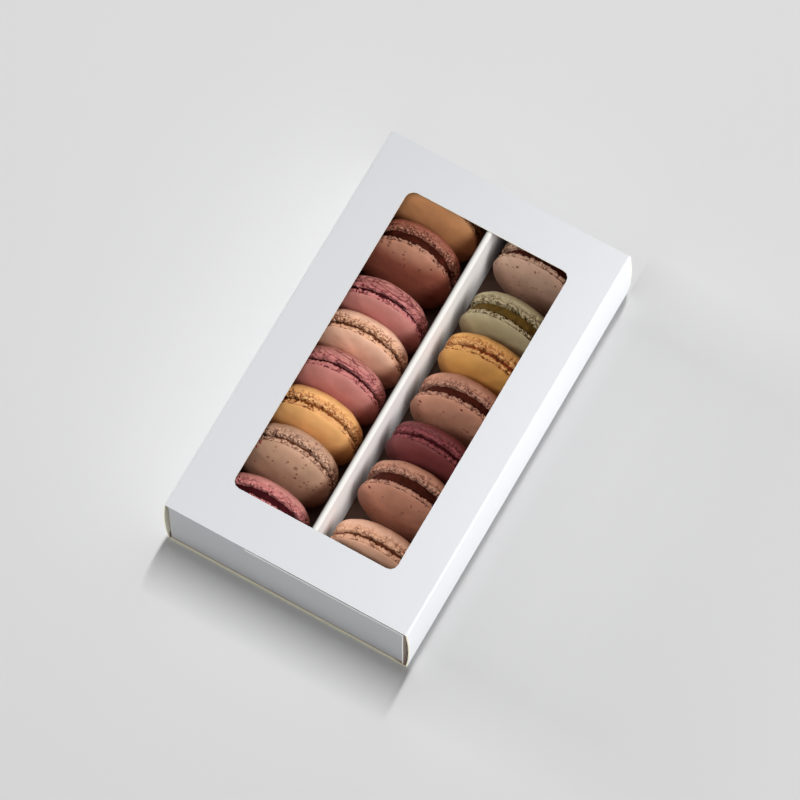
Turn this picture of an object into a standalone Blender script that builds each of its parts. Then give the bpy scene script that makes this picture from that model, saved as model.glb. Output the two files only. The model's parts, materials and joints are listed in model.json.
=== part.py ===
# Macaron box: a card sleeve with a window, and in it a tray with a divider and two rows of macarons.
# Metres, +Z up. X runs across the box and +Y to its far end. The origin is under the middle of the box.
import math
import random

import bmesh
import bpy
from mathutils import Matrix

# Card and clearances
CARD = 0.0006
GAP = 0.0003

# Sleeve, open at both ends, with its sides bowed out a little there
SLEEVE_WIDTH = 0.115
SLEEVE_LENGTH = 0.190
SLEEVE_HEIGHT = 0.046
SLEEVE_FOLD = 0.0010
BOW_DEPTH = 0.0012
BOW_REACH = 0.026
BOW_STEPS = 4

# Window, measured from the middle of the box and from its far end
WINDOW_LEFT = -0.0377
WINDOW_RIGHT = 0.0393
WINDOW_FAR = 0.0192
WINDOW_NEAR = 0.1688
WINDOW_CORNER = 0.0036

# Tray, set back a little from both ends of the sleeve
TRAY_SETBACK = 0.0008
TRAY_FOLD = 0.0009
TRAY_END_PLIES = 2

# Divider, a strip folded over its top edge and lying slightly askew
DIVIDER_X = 0.0010
DIVIDER_WIDTH = 0.0026
DIVIDER_TURN = 0.4
DIVIDER_END_CLEARANCE = 0.0004

# Macarons
MACARON_RADIUS = 0.0212
LEFT_ROW_X = -0.0254
RIGHT_ROW_X = 0.0268
BACK_FOOT = 0.0028
FRONT_FOOT = 0.0020
CREASE_DEPTH = 0.0006
RUFFLE = 0.00035
RUFFLE_LIFT = 0.4
FOOT_WIDEST = 0.45
RIM_STEP = 0.0009
DOME_RINGS = (0.88, 0.60)
DOME_FLATNESS = 4.0
DOME_SHOULDER = 0.8
DOME_CROWN = 0.97
FILLING_INSET = 0.0016
FILLING_SWELL = 0.3

# Facets and finish
SEGMENTS = 24
CORNER_STEPS = 3
SIDE_POINTS = 3
SHARP_ANGLE = 40
CARD_ROUGHNESS = 0.7
SHELL_ROUGHNESS = 0.75
CREAM_ROUGHNESS = 0.5

# Each macaron: its middle's distance from the far end, whole thickness and filling thickness,
# how far the filling lies towards the front, all in mm, then lean and turn in degrees and its colours
LEFT_ROW = [
    dict(far=18.5, thick=18.5, filling=2.5, seam=1.0, lean=16, turn=3, shell="caramel", cream="toffee"),
    dict(far=40.8, thick=19.5, filling=3.4, seam=1.2, lean=16, turn=3, shell="cocoa", cream="chocolate"),
    dict(far=66.7, thick=16.6, filling=1.5, seam=1.8, lean=10, turn=3, shell="rose", cream="plum"),
    dict(far=84.2, thick=16.8, filling=1.5, seam=1.6, lean=10, turn=3, shell="beige", cream="toffee"),
    dict(far=103.5, thick=18.5, filling=1.6, seam=1.0, lean=10, turn=3, shell="rose", cream="plum"),
    dict(far=123.0, thick=18.5, filling=1.5, seam=1.5, lean=10, turn=3, shell="apricot", cream="honey"),
    dict(far=143.4, thick=18.8, filling=1.5, seam=1.2, lean=15, turn=3, shell="almond", cream="toffee"),
    dict(far=167.9, thick=18.5, filling=3.4, seam=1.0, lean=10, turn=3, shell="rose", cream="plum"),
]
RIGHT_ROW = [
    dict(far=19.8, thick=18.5, filling=3.0, seam=1.0, lean=7, turn=-2, shell="taupe", cream="chocolate"),
    dict(far=47.5, thick=19.5, filling=4.5, seam=1.3, lean=7, turn=-2, shell="pistachio", cream="olive"),
    dict(far=68.0, thick=18.5, filling=1.6, seam=0.2, lean=7, turn=-1, shell="apricot", cream="rust"),
    dict(far=88.7, thick=20.5, filling=3.8, seam=2.0, lean=10, turn=1, shell="cocoa", cream="chocolate"),
    dict(far=112.5, thick=17.5, filling=1.6, seam=1.0, lean=7, turn=-2, shell="berry", cream="plum"),
    dict(far=133.2, thick=20.5, filling=5.0, seam=1.6, lean=10, turn=0, shell="cocoa", cream="chocolate"),
    dict(far=160.5, thick=18.0, filling=1.6, seam=2.0, lean=7, turn=1, shell="beige", cream="toffee"),
]

# Colours as linear RGB
CARD_WHITE = (0.80, 0.81, 0.82)
COLOURS = {
    "caramel": (0.42, 0.20, 0.07),
    "cocoa": (0.30, 0.13, 0.08),
    "rose": (0.52, 0.20, 0.19),
    "beige": (0.58, 0.34, 0.21),
    "apricot": (0.62, 0.34, 0.10),
    "almond": (0.38, 0.25, 0.17),
    "taupe": (0.30, 0.20, 0.14),
    "pistachio": (0.31, 0.27, 0.15),
    "berry": (0.20, 0.035, 0.045),
    "toffee": (0.30, 0.11, 0.03),
    "chocolate": (0.06, 0.02, 0.012),
    "plum": (0.08, 0.012, 0.02),
    "honey": (0.45, 0.18, 0.03),
    "olive": (0.14, 0.10, 0.03),
    "rust": (0.40, 0.09, 0.02),
}


def clear_scene():
    for thing in list(bpy.data.objects):
        bpy.data.objects.remove(thing, do_unlink=True)


def make_material(name, colour, roughness):
    material = bpy.data.materials.get(name)
    if material is None:
        material = bpy.data.materials.new(name)
        material.use_nodes = True
        shader = material.node_tree.nodes["Principled BSDF"]
        shader.inputs["Base Color"].default_value = (*colour, 1.0)
        shader.inputs["Roughness"].default_value = roughness
        shader.inputs["Metallic"].default_value = 0.0
    return material


def add_object(name, mesh, material, parent=None):
    mesh.materials.append(material)
    piece = bpy.data.objects.new(name, mesh)
    piece.parent = parent
    bpy.context.collection.objects.link(piece)
    return piece


def add_empty(name, parent=None):
    holder = bpy.data.objects.new(name, None)
    holder.parent = parent
    bpy.context.collection.objects.link(holder)
    return holder


def loft(name, rings, ends="caps"):
    """Skin a run of rings that have the same number of points; its ends are capped or joined."""
    mesh = bmesh.new()
    skinned = [[mesh.verts.new(point) for point in ring] for ring in rings]
    pairs = list(zip(skinned, skinned[1:]))
    if ends == "joined":
        pairs.append((skinned[-1], skinned[0]))
    count = len(rings[0])
    for lower, upper in pairs:
        for index in range(count):
            after = (index + 1) % count
            mesh.faces.new((lower[index], lower[after], upper[after], upper[index]))
    if ends == "caps":
        mesh.faces.new(list(reversed(skinned[0])))
        mesh.faces.new(skinned[-1])
    bmesh.ops.recalc_face_normals(mesh, faces=mesh.faces)
    result = bpy.data.meshes.new(name)
    mesh.to_mesh(result)
    mesh.free()
    return result


def rounded_rectangle(half_width, half_height, radius, side_points=0, bow=0.0):
    """Points round a rectangle with arcs for corners; its two upright sides may bow out."""
    points = []
    corners = ((1, -1, -90), (1, 1, 0), (-1, 1, 90), (-1, -1, 180))
    for sign_x, sign_y, start in corners:
        centre_x = sign_x * (half_width - radius)
        centre_y = sign_y * (half_height - radius)
        for step in range(CORNER_STEPS + 1):
            angle = math.radians(start + 90 * step / CORNER_STEPS)
            points.append((centre_x + radius * math.cos(angle), centre_y + radius * math.sin(angle)))
        if start in (-90, 90):
            reach = half_height - radius
            for step in range(1, side_points + 1):
                height = sign_y * reach * (1 - 2 * step / (side_points + 1))
                swell = bow * (1 - (height / half_height) ** 2)
                points.append((sign_x * (half_width + swell), height))
    return points


def sleeve_section(y, inset, bow):
    """The sleeve's outline across the box at y, moved in by inset."""
    half_width = SLEEVE_WIDTH / 2 - inset
    half_height = SLEEVE_HEIGHT / 2 - inset
    radius = SLEEVE_FOLD - inset
    outline = rounded_rectangle(half_width, half_height, radius, SIDE_POINTS, bow)
    return [(x, y, SLEEVE_HEIGHT / 2 + z) for x, z in outline]


def sleeve_stations():
    """Distances along the sleeve with the share of the bow that its sides have there."""
    half = SLEEVE_LENGTH / 2
    near = []
    for step in range(BOW_STEPS + 1):
        share = step / BOW_STEPS
        near.append((-half + BOW_REACH * share, (1 - share) ** 2))
    far = [(-y, share) for y, share in reversed(near)]
    return near + far


def cut(piece, cutter):
    cutter.hide_render = True
    cutter.display_type = "WIRE"
    modifier = piece.modifiers.new("Cut", "BOOLEAN")
    modifier.operation = "DIFFERENCE"
    modifier.object = cutter
    modifier.solver = "EXACT"


def make_sleeve():
    stations = sleeve_stations()
    outer = [sleeve_section(y, 0.0, BOW_DEPTH * share) for y, share in stations]
    inner = [sleeve_section(y, CARD, BOW_DEPTH * share) for y, share in stations]
    mesh = loft("sleeve", outer + list(reversed(inner)), ends="joined")
    sleeve = add_object("sleeve", mesh, make_material("sleeve_card", CARD_WHITE, CARD_ROUGHNESS))
    cut(sleeve, make_window_cutter())
    return sleeve


def make_window_cutter():
    half_width = (WINDOW_RIGHT - WINDOW_LEFT) / 2
    half_length = (WINDOW_NEAR - WINDOW_FAR) / 2
    outline = rounded_rectangle(half_width, half_length, WINDOW_CORNER)
    reach = 6 * CARD
    rings = [[(x, y, z) for x, y in outline] for z in (-reach, reach)]
    material = make_material("cutter", CARD_WHITE, CARD_ROUGHNESS)
    cutter = add_object("window_cutter", loft("window_cutter", rings), material)
    cutter.location = (
        (WINDOW_LEFT + WINDOW_RIGHT) / 2,
        SLEEVE_LENGTH / 2 - (WINDOW_FAR + WINDOW_NEAR) / 2,
        SLEEVE_HEIGHT,
    )
    return cutter


def tray_sizes():
    """Half width, half length, underside and rim height of the tray."""
    half_width = SLEEVE_WIDTH / 2 - CARD - GAP
    half_length = SLEEVE_LENGTH / 2 - TRAY_SETBACK
    return half_width, half_length, CARD + GAP, SLEEVE_HEIGHT - CARD - GAP


def make_tray(parent):
    """An open box: its skin runs up outside, over the rim and down inside."""
    half_width, half_length, low, high = tray_sizes()
    side = CARD
    end = CARD * TRAY_END_PLIES

    def plan(shrink_x, shrink_y, radius, z):
        outline = rounded_rectangle(half_width - shrink_x, half_length - shrink_y, radius)
        return [(x, y, z) for x, y in outline]

    edge = TRAY_FOLD * (1 - math.sqrt(0.5))
    rings = [
        plan(TRAY_FOLD, TRAY_FOLD, TRAY_FOLD / 2, low),
        plan(edge, edge, TRAY_FOLD, low + edge),
        plan(0.0, 0.0, TRAY_FOLD, low + TRAY_FOLD),
        plan(0.0, 0.0, TRAY_FOLD, high),
        plan(side, end, TRAY_FOLD / 2, high),
        plan(side, end, TRAY_FOLD / 2, low + CARD),
    ]
    material = make_material("tray_card", CARD_WHITE, CARD_ROUGHNESS)
    return add_object("tray", loft("tray", rings), material, parent)


def make_divider(parent):
    """A strip of card bent over into a narrow upturned U."""
    half_width, half_length, low, high = tray_sizes()
    floor = low + CARD + GAP
    top = high - GAP
    outer = DIVIDER_WIDTH / 2
    centre = top - outer
    path = [(-1.0, 0.0, floor)]
    for step in range(CORNER_STEPS * 2 + 1):
        angle = math.radians(180 - 180 * step / (CORNER_STEPS * 2))
        path.append((math.cos(angle), math.sin(angle), centre))
    path.append((1.0, 0.0, floor))
    reach = half_length - CARD * TRAY_END_PLIES - DIVIDER_END_CLEARANCE
    rings = []
    for across, rise, z in path:
        ring = []
        for radius, y in ((outer, -reach), (outer, reach), (outer - CARD, reach), (outer - CARD, -reach)):
            ring.append((across * radius, y, z + rise * radius))
        rings.append(ring)
    material = make_material("divider_card", CARD_WHITE, CARD_ROUGHNESS)
    divider = add_object("divider", loft("divider", rings), material, parent)
    divider.location = (DIVIDER_X, 0.0, 0.0)
    divider.rotation_euler = (0.0, 0.0, math.radians(DIVIDER_TURN))
    return divider


def turn(name, profile, wander, crown, seed):
    """Turn a profile of (radius, height) about Z up to its crown; wander is how far each ring strays."""
    draw = random.Random(seed)
    mesh = bmesh.new()
    rings = []
    for (radius, height), stray in zip(profile, wander):
        ring = []
        for index in range(SEGMENTS):
            angle = 2 * math.pi * index / SEGMENTS
            reach = radius + stray * draw.uniform(-1, 1)
            lift = RUFFLE_LIFT * stray * draw.uniform(-1, 1)
            ring.append(mesh.verts.new((reach * math.cos(angle), reach * math.sin(angle), height + lift)))
        rings.append(ring)
    bottom = mesh.verts.new((0, 0, profile[0][1]))
    top = mesh.verts.new((0, 0, crown))
    for index in range(SEGMENTS):
        after = (index + 1) % SEGMENTS
        mesh.faces.new((bottom, rings[0][after], rings[0][index]))
        mesh.faces.new((top, rings[-1][index], rings[-1][after]))
        for lower, upper in zip(rings, rings[1:]):
            mesh.faces.new((lower[index], lower[after], upper[after], upper[index]))
    result = bpy.data.meshes.new(name)
    mesh.to_mesh(result)
    mesh.free()
    result.shade_smooth()
    result.set_sharp_from_angle(angle=math.radians(SHARP_ANGLE))
    return result


def shell_profile(base, foot, crown):
    """From the filling outwards: crumbly foot, crease, smooth rim and dome."""
    radius = MACARON_RADIUS
    rim = base + foot + RIM_STEP
    rise = crown - rim
    profile = [
        (radius - FILLING_INSET, base),
        (radius - RUFFLE, base + FOOT_WIDEST * foot),
        (radius - CREASE_DEPTH - RUFFLE, base + foot),
        (radius - RUFFLE, rim),
    ]
    for share in DOME_RINGS:
        height = rise * DOME_CROWN * (1 - share ** DOME_FLATNESS) ** DOME_SHOULDER
        profile.append((radius * share, rim + height))
    wander = [0.6 * RUFFLE, RUFFLE, 0.5 * RUFFLE, 0.0, 0.0, 0.0]
    return profile, wander


def filling_profile(half):
    """A disc of cream that swells a little between the shells."""
    edge = MACARON_RADIUS - FILLING_INSET - GAP
    return [(edge, -half), (edge + FILLING_SWELL * half, 0.0), (edge, half)], [0.0, 0.6 * RUFFLE, 0.0]


def make_macaron(name, place, x, seed, parent):
    """Two shells and their filling about one axis, leaned back and turned."""
    mm = 0.001
    half_thick = place["thick"] * mm / 2
    half_filling = place["filling"] * mm / 2
    seam = place["seam"] * mm
    lean = math.radians(place["lean"])
    back_profile, back_wander = shell_profile(half_filling - seam, BACK_FOOT, half_thick)
    front_profile, front_wander = shell_profile(half_filling + seam, FRONT_FOOT, half_thick)
    holder = add_empty(name, parent)
    shell = make_material(place["shell"] + "_shell", COLOURS[place["shell"]], SHELL_ROUGHNESS)
    cream = make_material(place["cream"] + "_filling", COLOURS[place["cream"]], CREAM_ROUGHNESS)
    front = turn(name + "_front", front_profile, front_wander, half_thick, seed)
    back = turn(name + "_back", back_profile, back_wander, half_thick, seed + 1)
    back.transform(Matrix.Rotation(math.pi, 4, "Y"))
    cream_half = half_filling - GAP
    cream_profile, cream_wander = filling_profile(cream_half)
    middle = turn(name + "_filling", cream_profile, cream_wander, cream_half, seed + 2)
    middle.transform(Matrix.Translation((0, 0, seam)))
    add_object(name + "_front", front, shell, holder)
    add_object(name + "_back", back, shell, holder)
    add_object(name + "_filling", middle, cream, holder)
    depth = 0.0
    for (radius, height), stray in zip(back_profile, back_wander):
        drop = (radius + stray) * math.cos(lean)
        drop += (height + RUFFLE_LIFT * stray) * math.sin(lean)
        depth = max(depth, drop)
    floor = tray_sizes()[2] + CARD + GAP
    holder.location = (x, SLEEVE_LENGTH / 2 - place["far"] * mm, floor + depth)
    holder.rotation_euler = (math.pi / 2 - lean, 0.0, math.radians(place["turn"]))
    return holder


def build():
    clear_scene()
    make_sleeve()
    tray_slide = add_empty("tray_slide")
    make_tray(tray_slide)
    make_divider(tray_slide)
    seed = 0
    for side, x, row in (("left", LEFT_ROW_X, LEFT_ROW), ("right", RIGHT_ROW_X, RIGHT_ROW)):
        for index, place in enumerate(row):
            make_macaron(f"{side}{index + 1}", place, x, seed, tray_slide)
            seed += 3
    bpy.context.view_layer.update()


build()
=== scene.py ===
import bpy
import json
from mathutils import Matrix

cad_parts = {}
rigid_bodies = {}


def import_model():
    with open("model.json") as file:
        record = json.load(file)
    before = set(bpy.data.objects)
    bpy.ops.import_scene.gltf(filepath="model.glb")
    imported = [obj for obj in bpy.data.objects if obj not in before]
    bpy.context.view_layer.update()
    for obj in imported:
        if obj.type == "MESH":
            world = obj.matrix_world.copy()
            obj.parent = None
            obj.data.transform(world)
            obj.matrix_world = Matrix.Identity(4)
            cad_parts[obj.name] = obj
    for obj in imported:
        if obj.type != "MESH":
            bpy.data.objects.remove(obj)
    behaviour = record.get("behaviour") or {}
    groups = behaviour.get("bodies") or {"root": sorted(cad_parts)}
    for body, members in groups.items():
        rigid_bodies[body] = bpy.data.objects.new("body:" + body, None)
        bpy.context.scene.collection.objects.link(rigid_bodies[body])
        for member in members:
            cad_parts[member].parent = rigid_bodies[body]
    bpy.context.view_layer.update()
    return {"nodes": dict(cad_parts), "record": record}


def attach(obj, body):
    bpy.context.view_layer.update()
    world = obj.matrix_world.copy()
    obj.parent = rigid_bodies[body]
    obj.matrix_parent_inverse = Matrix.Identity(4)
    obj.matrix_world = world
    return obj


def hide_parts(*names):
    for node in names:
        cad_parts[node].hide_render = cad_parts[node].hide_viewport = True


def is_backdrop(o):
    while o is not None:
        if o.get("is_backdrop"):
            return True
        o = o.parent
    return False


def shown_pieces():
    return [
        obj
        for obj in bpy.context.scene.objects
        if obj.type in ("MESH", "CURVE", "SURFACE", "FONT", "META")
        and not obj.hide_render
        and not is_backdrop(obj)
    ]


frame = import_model()

# Macaron box: the finishes and fine shapes, in metres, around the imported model
import json
import math

import bpy
import numpy as np
from mathutils import Matrix, Vector, noise

mm = 0.001
slotOf = {part["node"]: part["material_slot"] for part in frame["record"]["subparts"]}


# Small helpers for work in object and edit mode
def selectOnly(piece):
    bpy.ops.object.select_all(action="DESELECT")
    piece.select_set(True)
    bpy.context.view_layer.objects.active = piece


def editMode(piece):
    selectOnly(piece)
    bpy.ops.object.mode_set(mode="EDIT")


def objectMode():
    bpy.ops.object.mode_set(mode="OBJECT")


def readPoints(piece):
    points = np.zeros(len(piece.data.vertices) * 3, np.float32)
    piece.data.vertices.foreach_get("co", points)
    return points.reshape(-1, 3).astype(float)


def writePoints(piece, points):
    piece.data.vertices.foreach_set("co", points.astype(np.float32).ravel())
    piece.data.update()


def readNormals(piece):
    normals = np.zeros(len(piece.data.vertices) * 3, np.float32)
    piece.data.vertices.foreach_get("normal", normals)
    return normals.reshape(-1, 3).astype(float)


def addAttribute(piece, name, values):
    attribute = piece.data.attributes.new(name, "FLOAT", "POINT")
    attribute.data.foreach_set("value", np.clip(values, 0, 1).astype(np.float32))


def addGroup(piece, name, weights, levels=20):
    # Weights are rounded to a few levels, so that one call sets all the points of a level
    group = piece.vertex_groups.new(name=name)
    steps = np.round(np.clip(weights, 0, 1) * levels).astype(int)
    for step in range(1, levels + 1):
        chosen = np.nonzero(steps == step)[0]
        if len(chosen):
            group.add(chosen.tolist(), step / levels, "REPLACE")


def copyOf(piece, name):
    twin = piece.copy()
    twin.data = piece.data.copy()
    twin.name = twin.data.name = name
    bpy.context.collection.objects.link(twin)
    return twin


def applyModifier(piece, modifier):
    selectOnly(piece)
    bpy.ops.object.modifier_apply(modifier=modifier.name)


def toned(colour, share, lift=0.0):
    # A colour made lighter or darker
    return tuple(min(1.0, c * share + lift) for c in colour)


# Shader sums: a wire stands for an output socket, and each sum on it adds a Math node
class Wire:
    def __init__(self, finish, socket):
        self.finish = finish
        self.socket = socket

    def sum(self, operation, first, second=0.0):
        node = self.finish.node("ShaderNodeMath", {"operation": operation}, {0: first, 1: second})
        return Wire(self.finish, node.outputs[0])

    def __add__(self, other):
        return self.sum("ADD", self, other)

    __radd__ = __add__

    def __sub__(self, other):
        return self.sum("SUBTRACT", self, other)

    def __rsub__(self, other):
        return self.sum("SUBTRACT", other, self)

    def __mul__(self, other):
        return self.sum("MULTIPLY", self, other)

    __rmul__ = __mul__

    def clamped(self):
        node = self.finish.node("ShaderNodeClamp", {}, {"Value": self})
        return Wire(self.finish, node.outputs[0])


class Finish:  # one material and the nodes that feed its shader
    def __init__(self, name, roughness, **constants):
        self.material = bpy.data.materials.new(name)
        self.material.use_nodes = True
        self.tree = self.material.node_tree
        self.shader = self.tree.nodes["Principled BSDF"]
        self.shader.inputs["Roughness"].default_value = roughness
        for socket, value in constants.items():
            self.shader.inputs[socket.replace("_", " ")].default_value = value

    def node(self, kind, settings, sockets):
        made = self.tree.nodes.new(kind)
        for name, value in settings.items():
            if name == "stops":
                while len(made.color_ramp.elements) < len(value):
                    made.color_ramp.elements.new(0.5)
                for element, (place, shade) in zip(made.color_ramp.elements, value):
                    element.position = place
                    element.color = (shade, shade, shade, 1.0)
            else:
                setattr(made, name, value)
        for socket, value in sockets.items():
            self.feed(made.inputs[socket], value)
        return made

    def feed(self, socket, value):
        if isinstance(value, Wire):
            self.tree.links.new(value.socket, socket)
        elif isinstance(value, (tuple, list)) and socket.type == "RGBA":
            socket.default_value = (*value, 1.0)
        else:
            socket.default_value = value

    def place(self, scale=(1, 1, 1)):  # object coordinates, in metres
        coordinates = self.node("ShaderNodeTexCoord", {}, {})
        mapping = self.node("ShaderNodeMapping", {}, {"Scale": scale})
        self.tree.links.new(coordinates.outputs["Object"], mapping.inputs["Vector"])
        return Wire(self, mapping.outputs[0])

    def coordinates(self, output):
        return Wire(self, self.node("ShaderNodeTexCoord", {}, {}).outputs[output])

    def vector(self, operation, first, second, output=0):
        node = self.node("ShaderNodeVectorMath", {"operation": operation}, {0: first, 1: second})
        return Wire(self, node.outputs[output])

    def dot(self, first, second):
        return self.vector("DOT_PRODUCT", first, second, "Value")

    def parts(self, vector):
        node = self.node("ShaderNodeSeparateXYZ", {}, {"Vector": vector})
        return [Wire(self, socket) for socket in node.outputs]

    def absolute(self, value):
        return value.sum("ABSOLUTE", value)

    def attribute(self, name):
        return Wire(self, self.node("ShaderNodeAttribute", {"attribute_name": name}, {}).outputs["Fac"])

    def beyond(self, value, edge, soft):  # 0 up to the edge and 1 past it by the soft width
        return self.ramp((value - edge) * (1 / soft), (0.0, 0.0), (1.0, 1.0))

    def noise(self, where, size, detail=3.0, roughness=0.55):  # size is that of one blotch in metres
        sockets = {"Vector": where, "Scale": 1 / size, "Detail": detail, "Roughness": roughness}
        return Wire(self, self.node("ShaderNodeTexNoise", {}, sockets).outputs[0])

    def cells(self, where, size, feature="F1"):
        sockets = {"Vector": where, "Scale": 1 / size}
        return Wire(self, self.node("ShaderNodeTexVoronoi", {"feature": feature}, sockets).outputs[0])

    def ramp(self, value, *stops):
        node = self.node("ShaderNodeValToRGB", {"stops": stops}, {"Fac": value})
        return Wire(self, node.outputs[0])

    def mix(self, share, first, second, way="MIX"):
        settings = {"data_type": "RGBA", "blend_type": way}
        node = self.node("ShaderNodeMix", settings, {0: share, 6: first, 7: second})
        return Wire(self, node.outputs[2])

    def shaded(self, colour, shade):  # one colour times another
        return self.mix(1.0, colour, shade, "MULTIPLY")

    def bump(self, height, strength, depth):
        node = self.node("ShaderNodeBump", {}, {"Height": height, "Strength": strength, "Distance": depth})
        self.feed(self.shader.inputs["Normal"], Wire(self, node.outputs[0]))

    def colour(self, value):
        self.feed(self.shader.inputs["Base Color"], value)

    def roughness(self, value):
        self.feed(self.shader.inputs["Roughness"], value)


# Macaron shells: one blank is spun, and every shell is a copy of it, stretched and roughened on its own
shell = dict(
    radius=21.2 * mm,
    segments=540,
    footBulge=0.9 * mm,
    footInset=0.1 * mm,
    footRings=14,
    creaseDepth=0.8 * mm,
    creaseLevel=1.015,
    lipRise=0.10,       # of the dome's height
    domePower=2.6,
    domeShoulder=0.5,
    domeRings=22,
    domeSpacing=1.25,   # above 1 for closer rings near the lip
    baseGap=0.3 * mm,   # from the filling's side in the CAD model to the shell's base
    backFoot=2.1 * mm,
    frontFoot=2.3 * mm,
    backFullness=0.8,   # of the dome's curve, above 1 for rounder shoulders
    frontFullness=1.22,
    footReach=78,       # degrees of the foot's round on each side of its middle
    lipSteps=((0.45, 0.30), (0.78, 0.62)),  # shares of the way out and up from crease to lip
)


def shellProfile():
    # Radius and height from the base's middle to the crown, where the foot is 0 to 1 and the dome 1 to 2
    radius = shell["radius"]
    points = [(0.0, 0.0), (radius * 0.5, 0.0), (radius - 2 * shell["footBulge"], 0.0)]
    reach = math.radians(shell["footReach"])
    for step in range(shell["footRings"] + 1):
        angle = -reach + 2 * reach * step / shell["footRings"]
        out = shell["footBulge"] * (1 - math.cos(angle)) + shell["footInset"]
        points.append((radius - out, 0.5 + 0.5 * math.sin(angle) / math.sin(reach)))
    crease = radius - shell["creaseDepth"] - shell["footInset"]
    points.append((crease, shell["creaseLevel"]))
    for share, rise in shell["lipSteps"]:
        points.append((crease + (radius - crease) * share, 1 + shell["lipRise"] * rise))
    for step in range(shell["domeRings"] + 1):
        turn = math.pi / 2 * (step / shell["domeRings"]) ** shell["domeSpacing"]
        share = math.cos(turn)
        lift = (1 - share ** shell["domePower"]) ** shell["domeShoulder"]
        points.append((radius * share, 1 + shell["lipRise"] + (1 - shell["lipRise"]) * lift))
    points[-1] = (0.0, 2.0)
    return points


def spinBlank(name, profile, segments):
    # A vertex is extruded along the profile, and the line is spun round the axis
    bpy.ops.mesh.primitive_plane_add(size=1 * mm, location=(profile[0][0], 0, profile[0][1]))
    piece = bpy.context.object
    piece.name = piece.data.name = name
    editMode(piece)
    bpy.ops.mesh.select_all(action="SELECT")
    bpy.ops.mesh.merge(type="CENTER")
    for (r, z), (nextR, nextZ) in zip(profile, profile[1:]):
        step = {"value": (nextR - r, 0, nextZ - z)}
        bpy.ops.mesh.extrude_vertices_move(TRANSFORM_OT_translate=step)
    bpy.ops.mesh.select_all(action="SELECT")
    bpy.ops.mesh.spin(steps=segments, angle=2 * math.pi, center=(0, 0, 0), axis=(0, 0, 1))
    bpy.ops.mesh.select_all(action="SELECT")
    bpy.ops.mesh.remove_doubles(threshold=1e-6)
    bpy.ops.mesh.normals_make_consistent(inside=False)
    objectMode()
    bpy.ops.object.transform_apply(location=True, rotation=True, scale=True)
    bpy.ops.object.shade_smooth()
    return piece


def reliefTexture(name, kind, size, stops=None, **settings):
    texture = bpy.data.textures.new(name, kind)
    texture.noise_scale = size
    for key, value in settings.items():
        setattr(texture, key, value)
    if stops:
        texture.use_color_ramp = True
        for element, (place, shade) in zip(texture.color_ramp.elements, stops):
            element.position = place
            element.color = (shade, shade, shade, 1.0)
    return texture


# Sizes in metres for textures on object coordinates, in millimetres for those on the ring maps
relief = dict(
    lumps=reliefTexture("lumps", "CLOUDS", 7 * mm, noise_depth=1),
    frill=reliefTexture("frill", "CLOUDS", 1.6, noise_depth=2),
    bubbles=reliefTexture("bubbles", "VORONOI", 1.5, noise_intensity=1.1),
    pits=reliefTexture("pits", "VORONOI", 0.95, stops=((0.28, 1.0), (0.55, 0.0))),
    grit=reliefTexture("grit", "CLOUDS", 0.45, noise_depth=2),
    folds=reliefTexture(
        "folds", "VORONOI", 2.2, stops=((0.02, 1.0), (0.14, 0.0)), weight_1=-1.0, weight_2=1.0),
)
# How deep each of them works on a shell, in metres, and how far its map is stretched round the rim
depth = dict(
    lumps=0.5 * mm,
    frill=0.7 * mm,
    ragged=0.9 * mm,  # the frill along the axis
    bubbles=0.55 * mm,
    pits=0.75 * mm,
    grit=0.22 * mm,
)
stretch = dict(shell=1.9, folds=4.0, cream=1.5)
# Where each kind begins and ends, softly: distances from the axis, then heights on the shell, where the
# crease is at 1 and the crown at 2, and last distances below the middle of the standing disc
zone = dict(
    rim=(0.85 * shell["radius"], 0.92 * shell["radius"]),
    creamRim=(0.8 * shell["radius"], 0.86 * shell["radius"]),
    foot=(0.94, 1.06),
    dome=(1.02, 1.12),
    ragged=(1.05, 1.3),
    folded=(1.3, 1.5),
    # deep and lower are the spans of painted shade towards the bottom of a shell
    deep=(-19 * mm, -9 * mm),
    lower=(-16 * mm, 4 * mm),
)
fullySunk = 0.5 * mm  # a point sunk this far has the darkest painted shade
# The pits lie in two rows, at the crease and at the foot's lower edge, and thinly between them
pitting = dict(
    patch=3.2 * mm,
    creaseRow=dict(height=1.0, spread=0.13, bare=(0.25, 0.5)),
    edgeRow=dict(height=0.12, spread=0.20, bare=(0.15, 0.4)),
    between=dict(share=0.9, bare=(0.38, 0.58), backTop=0.75, frontTop=1.0, end=1.2),
    backCrease=0.6,  # share of the crease's pits on a back shell
)


def ringMap(piece, name, pull, seed):
    # A map in millimetres: across runs round the rim and is pulled wider, and up runs along the axis
    points = readPoints(piece) / mm
    turn = np.arctan2(points[:, 0], points[:, 1])
    across = turn * shell["radius"] / mm / pull
    up = points[:, 2] - np.hypot(points[:, 0], points[:, 1])
    corners = np.zeros(len(piece.data.loops), np.int32)
    piece.data.loops.foreach_get("vertex_index", corners)
    # Halved here, because the modifier doubles it; the seed moves it to another part of the pattern
    flat = np.stack([across[corners] / 2 + 3.7 * seed, up[corners] / 2 + 1.9 * seed], axis=1)
    layer = piece.data.uv_layers.new(name=name)
    layer.data.foreach_set("uv", flat.astype(np.float32).ravel())


def displace(piece, texture, place, strength, group, direction="NORMAL", middle=0.5):
    # place is an empty for object coordinates, or the name of a ring map
    modifier = piece.modifiers.new("relief", "DISPLACE")
    modifier.texture = relief[texture]
    if isinstance(place, str):
        modifier.texture_coords = "UV"
        modifier.uv_layer = place
    else:
        modifier.texture_coords = "OBJECT"
        modifier.texture_coords_object = place
    modifier.strength = strength
    modifier.mid_level = middle
    modifier.direction = direction
    modifier.vertex_group = group
    applyModifier(piece, modifier)


def patchNoise(points, size, seed):
    # Soft patches between 0 and 1 over a cloud of points
    offset = Vector((7.1 * seed, 3.3 * seed, 5.9 * seed))
    return np.array([noise.noise(Vector(point) / size + offset) for point in points]) * 0.5 + 0.5


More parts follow.
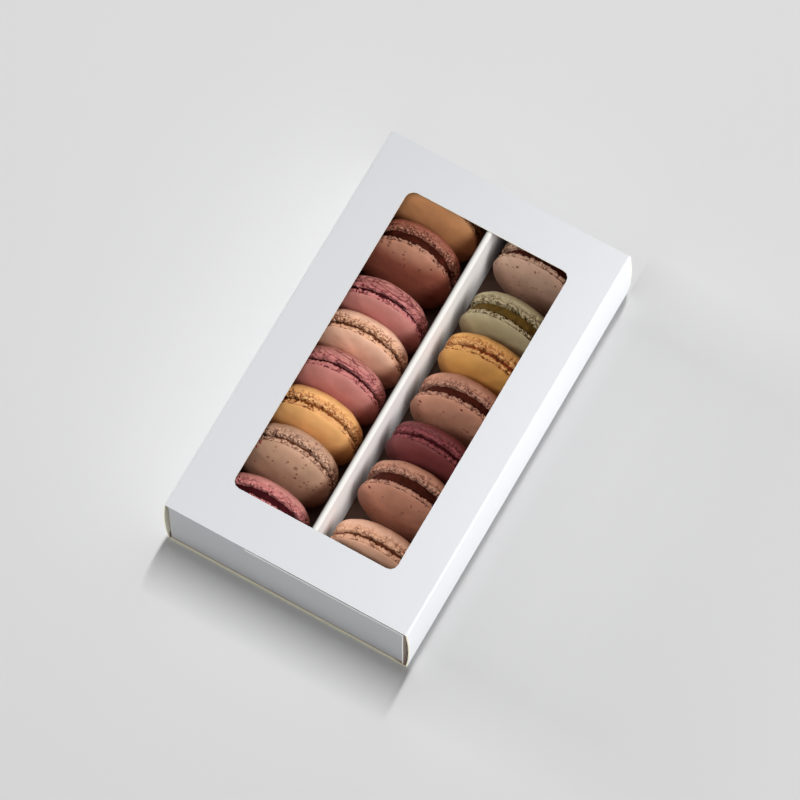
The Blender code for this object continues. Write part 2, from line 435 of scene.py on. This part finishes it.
def discFrame(name):
    # The crowns of a macaron's two shells give its middle, its axis and half its thickness
    points = {}
    for part in ("back", "filling", "front"):
        points[part] = readPoints(frame["nodes"][f"{name}_{part}"])
    guess = points["front"].mean(0) - points["back"].mean(0)
    frontCrown = Vector(points["front"][np.argmax(points["front"] @ guess)])
    backCrown = Vector(points["back"][np.argmin(points["back"] @ guess)])
    axis = (frontCrown - backCrown).normalized()
    middle = (frontCrown + backCrown) / 2
    side = axis.cross(Vector((0, 0, 1))).normalized()
    up = side.cross(axis) * -1
    if up.z < 0:
        up = -up
    side = up.cross(axis)
    turned = Matrix((side, up, axis)).transposed().to_4x4()
    along = (points["filling"] - np.array(middle)) @ np.array(axis)
    return dict(
        place=Matrix.Translation(middle) @ turned,
        crown=(frontCrown - backCrown).length / 2,
        low=along.min() - shell["baseGap"],
        high=along.max() + shell["baseGap"],
    )


def patternHandle(seed):
    # An empty that shifts the relief textures, so that no two pieces share a pattern
    handle = bpy.data.objects.new("pattern", None)
    handle.location = (0.031 * seed, 0.017 * seed, 0.023 * seed)
    bpy.context.collection.objects.link(handle)
    bpy.context.view_layer.update()
    return handle


def smoothStep(values, low, high):
    share = np.clip((values - low) / (high - low), 0, 1)
    return share * share * (3 - 2 * share)


def pitShares(level, patches, side):
    # Where pits may lie, 0 to 1, from the height on the shell and a patchy noise
    crease, edge, between = (pitting[name] for name in ("creaseRow", "edgeRow", "between"))
    cap = pitting["backCrease"] if side == "back" else 1.0
    creaseRow = cap * np.exp(-((level - crease["height"]) / crease["spread"]) ** 2)
    edgeRow = np.exp(-((level - edge["height"]) / edge["spread"]) ** 2)
    thin = between["share"] * (1 - smoothStep(level, between[side + "Top"], between["end"]))
    rows = ((creaseRow, crease), (edgeRow, edge), (thin, between))
    return np.max([row * smoothStep(patches, *place["bare"]) for row, place in rows], axis=0)


def roughenShell(piece, look, seed):
    # Lumps on the dome, a frilled and bubbly foot, pits and grit; returns how far each point has sunk
    handle = patternHandle(seed)
    ringMap(piece, "ring", stretch["shell"], seed)
    displace(piece, "lumps", handle, depth["lumps"], "dome")
    displace(piece, "frill", "ring", depth["frill"], "foot")
    displace(piece, "frill", "ring", depth["ragged"], "ragged", direction="Z")
    displace(piece, "bubbles", "ring", -depth["bubbles"], "foot", middle=0.45)
    bpy.data.objects.remove(handle)
    before = readPoints(piece)
    outward = readNormals(piece)
    displace(piece, "pits", "ring", -look.get("pits", 1.0) * depth["pits"], "pitted", middle=0.0)
    displace(piece, "grit", "ring", depth["grit"], "ragged")
    if look.get("folds"):
        ringMap(piece, "creases", stretch["folds"], seed)
        displace(piece, "folds", "creases", -look["folds"] * mm, "folded", middle=0.0)
    while piece.data.uv_layers:
        piece.data.uv_layers.remove(piece.data.uv_layers[0])
    return -((readPoints(piece) - before) * outward).sum(1)


def makeShell(blank, name, side, disc, look, seed):
    piece = copyOf(blank, f"{name}_{side}_shell")
    points = readPoints(piece)
    level = points[:, 2].copy()
    radial = np.hypot(points[:, 0], points[:, 1])
    base = disc["high"] if side == "front" else -disc["low"]
    top = base + shell[side + "Foot"]
    rise = np.clip(level - 1, 0, 1) ** shell[side + "Fullness"]
    onDome = top + (disc["crown"] - top) * rise
    points[:, 2] = np.where(level < 1, base + shell[side + "Foot"] * level, onDome)
    writePoints(piece, points)
    outer = smoothStep(radial, *zone["rim"])
    onFoot = outer * (1 - smoothStep(level, *zone["foot"]))
    folded = outer * (1 - smoothStep(level, *zone["folded"]))
    pitted = outer * pitShares(level, patchNoise(points, pitting["patch"], seed), side)
    addGroup(piece, "dome", smoothStep(level, *zone["dome"]))
    addGroup(piece, "foot", onFoot)
    addGroup(piece, "ragged", outer * (1 - smoothStep(level, *zone["ragged"])))
    addGroup(piece, "pitted", pitted)
    addGroup(piece, "folded", folded)
    sunk = roughenShell(piece, look, seed)
    piece.vertex_groups.clear()
    down = -points[:, 1]  # the disc stands, and its own y points up
    # where set, the deep tone fades out towards the top: painted shade towards the bottom of the shell
    fade = smoothStep(down, *zone["deep"]) if look.get("deepShadeBelow") else np.ones(len(down))
    addAttribute(piece, "foot", onFoot)
    addAttribute(piece, "sunk", sunk / fullySunk)
    addAttribute(piece, "pitted", pitted * look.get("pits", 1.0))
    addAttribute(piece, "deep", look.get("deep", 0.0) * fade)
    # the lower part of a front shell, where painted shade is put
    addAttribute(piece, "lower", smoothStep(down, *zone["lower"]) * (side == "front"))
    if look.get("folds"):
        addAttribute(piece, "folded", folded)
    flip = Matrix.Rotation(math.pi, 4, "Y") if side == "back" else Matrix.Identity(4)
    piece.data.transform(disc["place"] @ flip)
    return piece


# Filling between the shells: its rim is a round that bulges out
cream = dict(
    setback=2.9 * mm,    # of its sides from the shells' rim
    bulge=0.8 * mm,
    roundReach=84,       # degrees of the round on each side of its middle
    roundSteps=12,
    overlap=0.25 * mm,   # into each shell
    segments=300,
    lumps=1.1 * mm,
    frill=0.7 * mm,
)


def fillingProfile():
    radius = shell["radius"]
    reach = math.radians(cream["roundReach"])
    points = [(0.0, -1.0), (0.5 * radius, -1.0)]
    for step in range(cream["roundSteps"] + 1):
        angle = -reach + 2 * reach * step / cream["roundSteps"]
        out = cream["setback"] - cream["bulge"] * math.cos(angle)
        points.append((radius - out, math.sin(angle) / math.sin(reach)))
    points += [(0.5 * radius, 1.0), (0.0, 1.0)]
    return points


def makeFilling(blank, name, disc, seed):
    piece = copyOf(blank, f"{name}_cream")
    points = readPoints(piece)
    middle = (disc["high"] + disc["low"]) / 2
    half = (disc["high"] - disc["low"]) / 2 + cream["overlap"]
    points[:, 2] = middle + half * points[:, 2]
    writePoints(piece, points)
    radial = np.hypot(points[:, 0], points[:, 1])
    addGroup(piece, "edge", smoothStep(radial, *zone["creamRim"]))
    handle = patternHandle(seed)
    ringMap(piece, "ring", stretch["cream"], seed)
    displace(piece, "lumps", handle, cream["lumps"], "edge")
    displace(piece, "frill", "ring", cream["frill"], "edge")
    bpy.data.objects.remove(handle)
    piece.data.uv_layers.remove(piece.data.uv_layers[0])
    piece.vertex_groups.clear()
    sunk = radial - np.hypot(*readPoints(piece)[:, :2].T)
    addAttribute(piece, "sunk", sunk / fullySunk)
    piece.data.transform(disc["place"])
    return piece


# Shell and cream colours, linear RGB, where deep is the tone of a darker macaron of the same kind, and pit
# is the painted shade in pits and creases, which the specks also use, lightened
shellLooks = dict(
    caramel=dict(
        dome=(0.54, 0.27, 0.118),
        foot=(0.40, 0.18, 0.07),
        pit=(0.10, 0.03, 0.015),
    ),
    cocoa=dict(
        dome=(0.50, 0.25, 0.165),
        deep=(0.31, 0.10, 0.062),
        foot=(0.52, 0.285, 0.20),
        pit=(0.095, 0.024, 0.014),
        specks=0.6,
    ),
    rose=dict(
        dome=(0.62, 0.275, 0.245),
        deep=(0.50, 0.18, 0.165),
        foot=(0.70, 0.28, 0.27),
        pit=(0.14, 0.012, 0.019),
        creaseShade=0.8,
    ),
    beige=dict(
        dome=(0.92, 0.595, 0.425),
        deep=(0.65, 0.38, 0.255),
        foot=(0.86, 0.53, 0.34),
        pit=(0.20, 0.055, 0.022),
        specks=0.1,
    ),
    apricot=dict(
        dome=(0.94, 0.535, 0.21),
        deep=(0.55, 0.29, 0.078),
        foot=(0.90, 0.52, 0.23),
        pit=(0.30, 0.085, 0.014),
    ),
    almond=dict(
        dome=(0.58, 0.375, 0.255),
        foot=(0.68, 0.45, 0.32),
        pit=(0.13, 0.045, 0.026),
        specks=0.7,
    ),
    taupe=dict(
        dome=(0.47, 0.315, 0.23),
        foot=(0.48, 0.32, 0.22),
        pit=(0.11, 0.042, 0.026),
        specks=0.6,
    ),
    pistachio=dict(
        dome=(0.38, 0.34, 0.20),
        foot=(0.43, 0.375, 0.23),
        pit=(0.075, 0.05, 0.014),
        specks=0.1,
    ),
    berry=dict(
        dome=(0.155, 0.033, 0.033),
        foot=(0.26, 0.062, 0.070),
        pit=(0.045, 0.005, 0.007),
        specks=0.3,
    ),
)
lowerShade = (0.66, 0.50, 0.46)  # painted shade: what the lower half of a front shell is multiplied by
creamLooks = dict(
    toffee=(0.11, 0.032, 0.010), chocolate=(0.055, 0.0095, 0.004), plum=(0.045, 0.003, 0.006),
    honey=(0.23, 0.07, 0.010), olive=(0.10, 0.060, 0.010), rust=(0.22, 0.05, 0.012),
)


def addSpecks(finish, where, skin, look):
    # Dark dots in loose patches
    spread = (finish.noise(where, 5 * mm) - 0.5) * 0.6
    dots = finish.ramp(finish.cells(where, 3.0 * mm) + spread, (0.17, 1.0), (0.25, 0.0))
    patch = finish.ramp(finish.noise(where, 9 * mm), (0.47, 0.0), (0.54, 1.0))
    return finish.mix(dots * patch * look["specks"], skin, toned(look["pit"], 1.6, 0.02))


def shellFinish(name, look):
    finish = Finish(name, 0.62, Specular_IOR_Level=0.3)
    where = finish.place()
    blotch = finish.noise(where, 9 * mm, detail=2.0)
    mottle = finish.noise(where, 1.6 * mm, detail=4.0, roughness=0.6)
    grain = finish.noise(where, 0.35 * mm, detail=3.0)
    grit = finish.noise(where, 0.85 * mm, detail=3.0)
    foot = finish.attribute("foot")
    deep = finish.attribute("deep")
    pitted = finish.attribute("pitted")

    skin = finish.mix(deep, look["dome"], look.get("deep", look["dome"]))
    skin = finish.shaded(skin, finish.ramp(blotch, (0.3, 0.90), (0.7, 1.08)))
    # painted shade on the lower part of each front shell
    skin = finish.mix(finish.attribute("lower") * 0.7, skin, finish.shaded(skin, lowerShade))
    footPatch = finish.ramp(mottle, (0.35, 0.0), (0.62, 1.0))
    footTone = finish.mix(footPatch, toned(look["foot"], 0.84), look["foot"])
    footTone = finish.mix(deep * 0.7, footTone, look.get("deep", look["foot"]))
    skin = finish.mix(foot * 0.9, skin, footTone)
    if look.get("specks"):
        skin = addSpecks(finish, where, skin, look)

    # painted highlights: light flecks on the crumbly foot
    light = finish.ramp(grit, (0.40, 1.0), (0.46, 0.0)) * pitted
    skin = finish.mix(light * 0.5, skin, toned(look["foot"], 1.3, 0.03))
    # painted shade: dark flecks in the pitted zone, and darkening where the surface is sunk
    hollowShade = finish.ramp(grit, (0.48, 0.0), (0.54, 1.0)) * pitted
    dark = finish.ramp(finish.attribute("sunk"), (0.35, 0.0), (1.0, 1.0)) * 0.35 + hollowShade
    # painted shade along the creases of folded shells
    if look.get("creaseShade"):
        creaseShade = finish.cells(finish.place((0.16, 1, 1)), 2.2 * mm, "DISTANCE_TO_EDGE")
        creaseShade = finish.ramp(creaseShade, (0.02, 1.0), (0.06, 0.0)) * finish.attribute("folded")
        dark = dark + creaseShade * look["creaseShade"]
    finish.colour(finish.mix(dark.clamped() * 0.92, skin, look["pit"]))
    finish.roughness(0.5 + grain * 0.2 + foot * 0.15)
    finish.bump(grain * 0.6 + mottle * 0.4, 0.3, 0.1 * mm)
    return finish.material


def creamFinish(name, colour):
    finish = Finish(name, 0.8, Specular_IOR_Level=0.12)
    streak = finish.noise(finish.place(), 2.5 * mm, detail=4.0)
    tone = finish.mix(finish.ramp(streak, (0.3, 0.0), (0.7, 1.0)), toned(colour, 0.65), toned(colour, 1.3))
    # painted shade: the filling darkens where its rim is sunk
    finish.colour(finish.mix(finish.attribute("sunk") * 0.6, tone, toned(colour, 0.4)))
    finish.roughness(0.65 + streak * 0.25)
    finish.bump(streak, 0.4, 0.3 * mm)
    return finish.material


rowCounts = dict(left=8, right=7)
# What sets single macarons apart: deep and pits are shares, folds is a depth in millimetres, and a true
# flag after them keeps the deep tone to the lower part of the shell, as painted shade that leaves the top
# lighter
pieceLooks = dict(
    left2=dict(thicker=0.6 * mm, back=dict(deep=0.95), front=dict(deep=1.0, deepShadeBelow=True)),
    left3=dict(back=dict(folds=0.5, pits=0.25)),
    left5=dict(back=dict(folds=0.4, pits=0.25), front=dict(deep=0.25)),
    left6=dict(front=dict(deep=0.14)),
    left8=dict(back=dict(pits=0.8)),
    right3=dict(back=dict(deep=0.8), front=dict(deep=1.0)),
    right4=dict(back=dict(pits=0.85)),
    right5=dict(back=dict(pits=0.75), front=dict(pits=0.8)),
    right6=dict(back=dict(pits=0.85), front=dict(deep=0.14)),
    right7=dict(back=dict(deep=0.6, pits=0.75), front=dict(deep=0.9, pits=0.75)),
)
finishes = {}


def finishOf(slotName):
    # Each slot's material is made once
    if slotName not in finishes:
        kind, layer = slotName.rsplit("_", 1)
        if layer == "shell":
            finishes[slotName] = shellFinish(slotName, shellLooks[kind])
        else:
            finishes[slotName] = creamFinish(slotName, creamLooks[kind])
    return finishes[slotName]


def settle(piece, node):
    # The piece takes the place of its CAD node and rides on the tray
    slotName = slotOf[node]
    piece.data.materials.clear()
    piece.data.materials.append(finishOf(slotName))
    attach(piece, "tray")
    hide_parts(node)


def makeMacarons():
    shellBlank = spinBlank("shellBlank", shellProfile(), shell["segments"])
    creamBlank = spinBlank("creamBlank", fillingProfile(), cream["segments"])
    names = [f"{row}{index}" for row, count in rowCounts.items() for index in range(1, count + 1)]
    for order, name in enumerate(names):
        seed = 3 * order + 1
        looks = pieceLooks.get(name, {})
        disc = discFrame(name)
        disc["low"] -= looks.get("thicker", 0.0)
        disc["high"] += looks.get("thicker", 0.0)
        for step, side in enumerate(("back", "front")):
            piece = makeShell(shellBlank, name, side, disc, looks.get(side, {}), seed + step)
            settle(piece, f"{name}_{side}")
        settle(makeFilling(creamBlank, name, disc, seed + 2), f"{name}_filling")
    bpy.data.objects.remove(shellBlank)
    bpy.data.objects.remove(creamBlank)


makeMacarons()
print("macarons made")


# Single crumbs on the front shells: place across and up the disc and size, in millimetres
crumb = dict(
    dark=dict(
        colour=(0.11, 0.024, 0.014),
        right4=((-16.6, 9.7, 1.5), (-17.0, 6.8, 1.0), (1.7, 19.4, 1.3)),
        right6=((-16.0, 11.7, 1.5), (3.9, 15.8, 0.8)),
        right1=((-9.4, 14.8, 1.1), (-1.2, 18.6, 1.0), (8.9, 16.5, 0.9)),
        left2=(
            (-1.3, 16.4, 1.0), (7.0, 12.1, 1.0), (11.6, 14.1, 1.1),
            (7.2, 4.4, 0.8), (14.8, 2.0, 0.8),
        ),
        left7=(
            (6.4, 7.6, 1.2), (6.7, 10.4, 0.9), (10.6, 6.6, 1.0),
            (1.9, 15.3, 0.9), (-4.6, 12.0, 0.8), (17.3, 8.7, 0.9),
        ),
    ),
    pink=dict(
        colour=(0.34, 0.06, 0.055),
        left7=((-12.3, 16.4, 1.6), (-13.2, 13.6, 1.3), (-14.0, 15.2, 0.9)),
    ),
)


def makeCrumb(point, normal, size, seed):
    # A flat, knobbly grain that lies on a shell
    bpy.ops.object.select_all(action="DESELECT")
    bpy.ops.mesh.primitive_ico_sphere_add(
        subdivisions=3, radius=size / 2, location=point,
        rotation=normal.to_track_quat("Z", "Y").to_euler(), scale=(1.0, 0.75, 0.4))
    grain = bpy.context.object
    bpy.ops.object.transform_apply(location=True, rotation=True, scale=True)
    editMode(grain)
    bpy.ops.mesh.select_all(action="SELECT")
    bpy.ops.transform.vertex_random(offset=0.06 * size, uniform=0.2, normal=0.8, seed=seed)
    objectMode()
    return grain


def makeCrumbs(kind, look):
    grains = []
    for name in [name for name in look if name != "colour"]:
        place = discFrame(name)["place"]
        under = bpy.data.objects[f"{name}_front_shell"]
        inwards = place.to_3x3() @ Vector((0, 0, -1))
        for across, up, size in look[name]:
            start = place @ Vector((across * mm, up * mm, 14 * mm))  # well in front of the shell
            point, normal = under.ray_cast(start, inwards)[1:3]
            grains.append(makeCrumb(point, normal, size * mm, len(grains) + 1))
    selectOnly(grains[0])
    for grain in grains:
        grain.select_set(True)
    bpy.ops.object.join()
    bpy.ops.object.shade_smooth()
    joined = bpy.context.object
    joined.name = joined.data.name = kind + "Crumbs"
    finish = Finish(joined.name, 0.7, Specular_IOR_Level=0.3)
    grainTone = finish.noise(finish.place(), 0.4 * mm)
    finish.colour(finish.mix(grainTone, toned(look["colour"], 0.7), toned(look["colour"], 1.3)))
    finish.bump(grainTone, 0.3, 0.1 * mm)
    joined.data.materials.append(finish.material)
    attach(joined, "tray")


for kind, look in crumb.items():
    makeCrumbs(kind, look)
print("crumbs made")


# Card: white board, with painted shade on its inner faces over a brown board back, and cream where it is
# cut
cardLook = dict(
    white=(0.80, 0.81, 0.835),
    warm=(0.80, 0.785, 0.775),    # the divider's board
    inside=(0.19, 0.105, 0.075),  # uncoated back, darkened as painted shade on the inner faces
    edge=(0.93, 0.90, 0.74),      # where the board is cut
    shadedLowEdge=(0.52, 0.51, 0.40),   # the same, darkened along the table as painted shade
    paintedShadeTop=(0.52, 0.51, 0.485),     # painted shade on the divider's folded top
    slitShade=(0.42, 0.33, 0.26),      # painted shade on the tray's board beyond its right fold
    gapShade=(0.09, 0.09, 0.092),      # painted shade above its top fold
    heart=(0.0, 0.0, 0.023),      # middle of the box, which inner faces look towards
)

# Where the card's tints and painted shades begin, in metres
tint = dict(
    topFace=45.2 * mm,     # above it lie the sleeve's top and the window's cut
    mouth=94.5 * mm,       # past it lie the cut ends of the sleeve
    lining=94.0 * mm,      # and past this the rim of its inner faces
    leftLining=91.0 * mm,  # which shows further in at the bowed left side
    leftFace=57.0 * mm,
    rightLining=50.0 * mm,
    liningTop=37.0 * mm,
    table=0.8 * mm,
    panel=93.5 * mm,       # past it lies the tray's near panel
    # the tray panel's painted shades begin past its right fold and above its top fold, from foldStart
    # across
    pastFold=55.3 * mm,
    overFold=41.7 * mm,
    foldStart=-22.0 * mm,
)


def tintSleeve(finish, board, look, place, normal, inner):
    across, along, up = finish.parts(place)
    outwards = finish.absolute(along)
    upright = finish.ramp(finish.absolute(finish.parts(normal)[2]), (0.4, 1.0), (0.7, 0.0))
    top = finish.beyond(up, tint["topFace"], 0.2 * mm)
    ends = finish.beyond(outwards, tint["mouth"], 0.2 * mm)
    atLeft = finish.beyond(across * -1.0, tint["leftFace"], 0.3 * mm)
    leftRim = finish.beyond(outwards, tint["leftLining"], 0.5 * mm) * atLeft
    atRight = finish.beyond(across, tint["rightLining"], 5.0 * mm)
    otherRim = finish.beyond(outwards, tint["lining"], 0.2 * mm) * (1.0 - atRight)
    lining = inner * (1.0 - finish.beyond(up, tint["liningTop"], 5.0 * mm)) * (leftRim + otherRim)
    cut = (ends * (1.0 - top) + top * upright * (1.0 - ends) + lining).clamped()
    # painted shade: the cut edges darken along the table
    low = 1.0 - finish.beyond(up, tint["table"], 2.0 * mm)
    return finish.mix(cut, board, finish.mix(low, look["edge"], look["shadedLowEdge"]))


def shadeTrayPanel(finish, board, look, place):
    # painted shade on the tray's near panel: brown beyond its right fold and dark above its top fold, for
    # the shaded gaps at the sleeve
    across, away, up = finish.parts(place)
    panel = finish.beyond(away * -1.0, tint["panel"], 0.3 * mm)
    slitShadeMask = finish.beyond(across, tint["pastFold"], 0.2 * mm)
    board = finish.mix(slitShadeMask * panel, board, look["slitShade"])
    gapShadeMask = finish.beyond(up, tint["overFold"], 0.2 * mm)
    along = finish.beyond(across, tint["foldStart"], 20.0 * mm)
    return finish.mix(gapShadeMask * along * panel, board, look["gapShade"])


def cardFinish(node, look):
    finish = Finish(slotOf[node], 0.6, Specular_IOR_Level=0.3)
    place = finish.coordinates("Object")
    normal = finish.coordinates("Normal")
    cloud = finish.noise(place, 30 * mm, detail=2.0)
    fibre = finish.noise(finish.place((1, 0.25, 1)), 0.5 * mm, detail=4.0)
    tone = look["warm"] if node == "divider" else look["white"]
    board = finish.mix(cloud * 0.5, toned(tone, 0.97), tone)
    if node == "divider":
        # painted shade: the divider's up-facing top is darkened
        topShadeMask = finish.ramp(finish.parts(normal)[2], (0.3, 0.0), (0.8, 1.0))
        board = finish.mix(topShadeMask, board, look["paintedShadeTop"])
    else:
        # painted shade: inner faces take the dark inside tone
        outwards = finish.dot(finish.vector("SUBTRACT", place, look["heart"]), normal)
        inner = finish.ramp(outwards * -40.0, (0.3, 0.0), (0.5, 1.0))
        board = finish.mix(inner, board, look["inside"])
        if node == "sleeve":
            board = tintSleeve(finish, board, look, place, normal, inner)
        else:
            board = shadeTrayPanel(finish, board, look, place)
    finish.colour(board)
    finish.roughness(0.52 + fibre * 0.16)
    finish.bump(fibre, 0.12, 0.05 * mm)
    return finish.material


for node in ("sleeve", "tray", "divider"):
    thing = frame["nodes"][node]
    thing.data.materials.clear()
    thing.data.materials.append(cardFinish(node, cardLook))


# The tray's near panel ends in folds: a roll along its top and one down its right side
roll = dict(
    across=0.55 * mm,
    proud=0.45 * mm,
    face=-94.2 * mm,     # front of the tray's panel
    top=41.4 * mm,
    foot=1.4 * mm,
    left=-20.0 * mm,
    right=55.2 * mm,
    rounding=0.15 * mm,
    colour=(0.90, 0.90, 0.885),
)


def makeRoll(name, start, end):
    middle = [(a + b) / 2 for a, b in zip(start, end)]
    size = [max(b - a, roll["across"]) for a, b in zip(start, end)]
    size[1] = roll["proud"]
    bpy.ops.object.select_all(action="DESELECT")
    bpy.ops.mesh.primitive_cube_add(size=1.0, location=middle, scale=size)
    piece = bpy.context.object
    piece.name = piece.data.name = name
    bpy.ops.object.transform_apply(location=True, rotation=True, scale=True)
    editMode(piece)
    bpy.ops.mesh.select_all(action="SELECT")
    bpy.ops.mesh.bevel(offset=roll["rounding"], segments=3, affect="EDGES")
    objectMode()
    bpy.ops.object.shade_smooth()
    return piece


def makeRolls():
    front = roll["face"] - roll["proud"] / 2
    corner = (roll["right"], front, roll["top"])
    rolls = [
        makeRoll("topRoll", (roll["left"], front, roll["top"]), corner),
        makeRoll("rightRoll", (roll["right"], front, roll["foot"]), corner),
    ]
    finish = Finish("panelRoll", 0.6, Specular_IOR_Level=0.3)
    fibre = finish.noise(finish.place(), 0.6 * mm)
    finish.colour(finish.mix(fibre, roll["colour"], toned(roll["colour"], 0.94)))
    finish.bump(fibre, 0.15, 0.05 * mm)
    for piece in rolls:
        piece.data.materials.append(finish.material)
        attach(piece, "tray")
    return rolls


panelRolls = makeRolls()
print("card finished")


# Floor, light and camera
view = dict(
    azimuth=29.52, elevation=71.32, distance=2.5323,
    lens=270.0, shiftAcross=0.9 / 800, shiftUp=15.2 / 800,
)
# Each lamp lights only what makeLights names for it; aim is the middle of the box where none is given
light = dict(
    overhead=dict(power=11.0, place=(0.0, 0.0, 2.0), size=(3.0, 3.0)),
    key=dict(power=54.0, place=(-0.06, 0.75, 2.9), size=(0.12, 1.4)),
    foodWarm=dict(power=1.5, place=(0.05, 0.0, 0.9), size=(0.5, 0.5), colour=(1.0, 0.5, 0.36)),
    leftKey=dict(power=16.3, place=(-0.06, 0.42, 2.9), size=(0.45, 1.4)),
    rightKey=dict(power=11.6, place=(-0.06, 0.42, 2.9), size=(0.45, 1.4)),
    foodLeft=dict(power=6.7, place=(-0.48, -0.42, 0.90), aim=(0.0, 0.0, 0.02), size=(0.42, 0.42)),
    foodRight=dict(power=8.2, place=(0.60, -0.25, 0.95), aim=(0.0, 0.0, 0.02), size=(0.35, 0.35)),
    sleeveKey=dict(power=1.24, place=(0.40, 0.10, 0.30), size=(0.3, 0.3)),
    sleeveFront=dict(power=28.0, place=(0.0, -1.7, 1.5), size=(0.6, 0.6)),
    sleeveLeft=dict(power=1.3, place=(-0.6, 0.0, 0.10), aim=(0.0, 0.0, 0.02), size=(0.3, 0.15)),
    trayFront=dict(power=3.0, place=(0.6, -1.6, 1.5), size=(0.6, 0.6)),
    side=dict(power=0.46, place=(0.36, 0.02, 0.095), aim=(0.0, 0.0, 0.02), size=(0.25, 0.12)),
    divider=dict(power=6.4, place=(0.30, 0.0, 0.52), aim=(0.0, 0.0, 0.03), size=(0.40, 0.55)),
)
studio = dict(sky=0.11, paper=(0.84, 0.84, 0.84), paperSize=6.0)
# The paper is toned down beside the sleeve's bright right side, so that the floor reads even
toning = dict(
    start=57.5 * mm,
    reach=200 * mm,  # the stops run from 0 to 1 over it
    stops=(
        (0.0, 0.0), (0.005, 0.235), (0.06, 0.245), (0.10, 0.215),
        (0.17, 0.16), (0.29, 0.095), (0.5, 0.05), (0.8, 0.0),
    ),
    fullUpTo=84 * mm,  # along the box, from its middle
    fade=32 * mm,
)


def makeFloor():
    bpy.ops.mesh.primitive_plane_add(size=studio["paperSize"], location=(0, 0, 0))
    floor = bpy.context.object
    floor.name = "floor"
    finish = Finish("floor", 0.9, Specular_IOR_Level=0.0)
    across, along = finish.parts(finish.place())[:2]
    beside = finish.ramp((across - toning["start"]) * (1 / toning["reach"]), *toning["stops"])
    within = 1.0 - finish.beyond(finish.absolute(along), toning["fullUpTo"], toning["fade"])
    cloud = finish.noise(finish.place(), 0.4) * 0.02
    finish.colour(finish.mix((beside * within + cloud).clamped(), studio["paper"], (0.0, 0.0, 0.0)))
    floor.data.materials.append(finish.material)
    floor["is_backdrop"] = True


def softbox(name, look, pieces):
    # An area lamp that lights these pieces and leaves the rest
    place = Vector(look["place"])
    aim = Vector(look.get("aim", (0.0, 0.0, 0.0)))
    bpy.ops.object.light_add(type="AREA", location=place)
    lamp = bpy.context.object
    lamp.name = name + "Light"
    lamp.data.shape = "RECTANGLE"
    lamp.data.size, lamp.data.size_y = look["size"]
    lamp.data.energy = look["power"]
    lamp.data.color = look.get("colour", (1.0, 1.0, 1.0))
    lamp.rotation_euler = (place - aim).to_track_quat("Z", "Y").to_euler()
    group = bpy.data.collections.new(name + "Pieces")
    for piece in pieces:
        group.objects.link(piece)
    lamp.light_linking.receiver_collection = group


def makeLights():
    world = bpy.data.worlds.new("studio")
    bpy.context.scene.world = world
    world.use_nodes = True
    background = world.node_tree.nodes["Background"]
    background.inputs["Color"].default_value = (1.0, 1.0, 1.0, 1.0)
    background.inputs["Strength"].default_value = studio["sky"]
    sleeve, tray, divider = (frame["nodes"][name] for name in ("sleeve", "tray", "divider"))
    floor = bpy.data.objects["floor"]
    food = [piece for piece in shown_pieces() if piece not in [sleeve, tray, divider] + panelRolls]
    notLeft = [piece for piece in food if not piece.name.startswith("left")]
    notRight = [piece for piece in food if not piece.name.startswith("right")]
    lit = dict(
        overhead=[sleeve, tray, floor] + panelRolls,
        key=[floor],
        foodWarm=food,
        leftKey=notRight,
        rightKey=[piece for piece in food if piece not in notRight],
        foodLeft=notLeft,
        foodRight=notRight,
        sleeveKey=[sleeve],
        sleeveFront=[sleeve] + panelRolls,
        sleeveLeft=[sleeve],
        trayFront=[tray],
        side=[sleeve, tray],
        divider=[divider],
    )
    for name, pieces in lit.items():
        softbox(name, light[name], pieces)


def makeCamera():
    turn = math.radians(view["azimuth"])
    tilt = math.radians(view["elevation"])
    away = Vector((math.sin(turn) * math.cos(tilt), -math.cos(turn) * math.cos(tilt), math.sin(tilt)))
    bpy.ops.object.camera_add(location=away * view["distance"])
    camera = bpy.context.object
    camera.rotation_euler = away.to_track_quat("Z", "Y").to_euler()
    camera.data.lens = view["lens"]
    camera.data.sensor_width = 36.0
    camera.data.shift_x = view["shiftAcross"]
    camera.data.shift_y = view["shiftUp"]
    camera.data.clip_end = 20.0
    bpy.context.scene.camera = camera


makeFloor()
makeLights()
makeCamera()
bpy.context.scene.view_settings.view_transform = "Standard"
print("floor, light and camera set")
